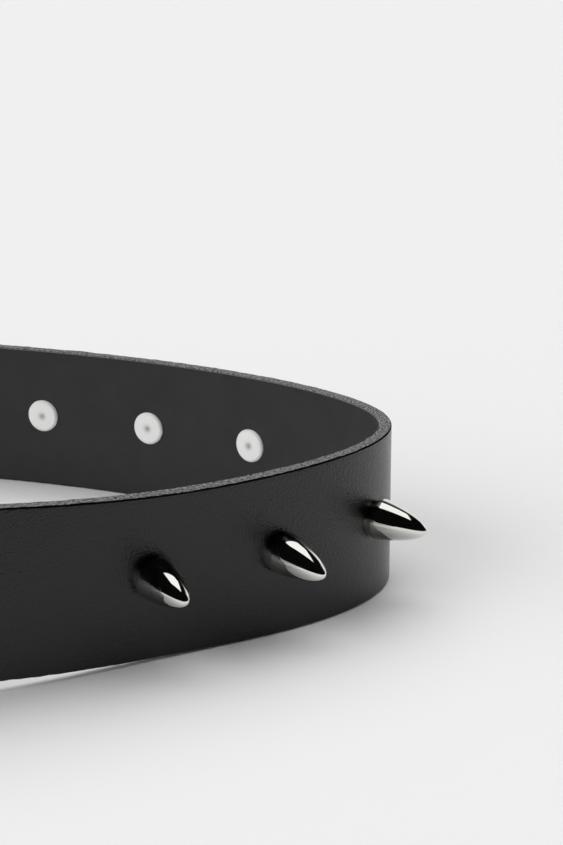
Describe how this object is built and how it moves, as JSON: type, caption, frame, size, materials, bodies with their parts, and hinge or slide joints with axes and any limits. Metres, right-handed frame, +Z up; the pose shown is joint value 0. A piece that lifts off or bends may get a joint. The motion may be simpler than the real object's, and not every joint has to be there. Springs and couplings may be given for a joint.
{
  "type": "studded belt",
  "caption": "Black leather belt with pointed metal studs, fastened to a loop and standing on its edge.",
  "frame": {"origin": "on the surface the belt stands on, under the middle of its bounding box", "axes": "+Z up, +X along the longer way of the fastened loop, buckle on the -Y side"},
  "size_m": [0.4052, 0.2108, 0.053],
  "materials": {
    "black_leather": "matt, fine grain, raw grey cut edges",
    "polished_chrome": "mirror polished",
    "satin_nickel": "satin"
  },
  "bodies": {
    "root": {"strap": "black_leather", "keeper": "black_leather", "buckle": "satin_nickel", "spike_01": "polished_chrome", "spike_02": "polished_chrome", "spike_03": "polished_chrome", "spike_04": "polished_chrome", "spike_05": "polished_chrome", "spike_06": "polished_chrome", "spike_07": "polished_chrome", "spike_08": "polished_chrome", "spike_09": "polished_chrome", "spike_10": "polished_chrome", "spike_11": "polished_chrome", "spike_12": "polished_chrome", "spike_13": "polished_chrome", "spike_14": "polished_chrome", "spike_15": "polished_chrome", "rivet_01": "satin_nickel", "rivet_02": "satin_nickel", "rivet_03": "satin_nickel", "rivet_04": "satin_nickel", "rivet_05": "satin_nickel", "rivet_06": "satin_nickel", "rivet_07": "satin_nickel", "rivet_08": "satin_nickel", "rivet_09": "satin_nickel", "rivet_10": "satin_nickel", "rivet_11": "satin_nickel", "rivet_12": "satin_nickel", "rivet_13": "satin_nickel", "rivet_14": "satin_nickel", "rivet_15": "satin_nickel"}
  },
  "joints": []
}
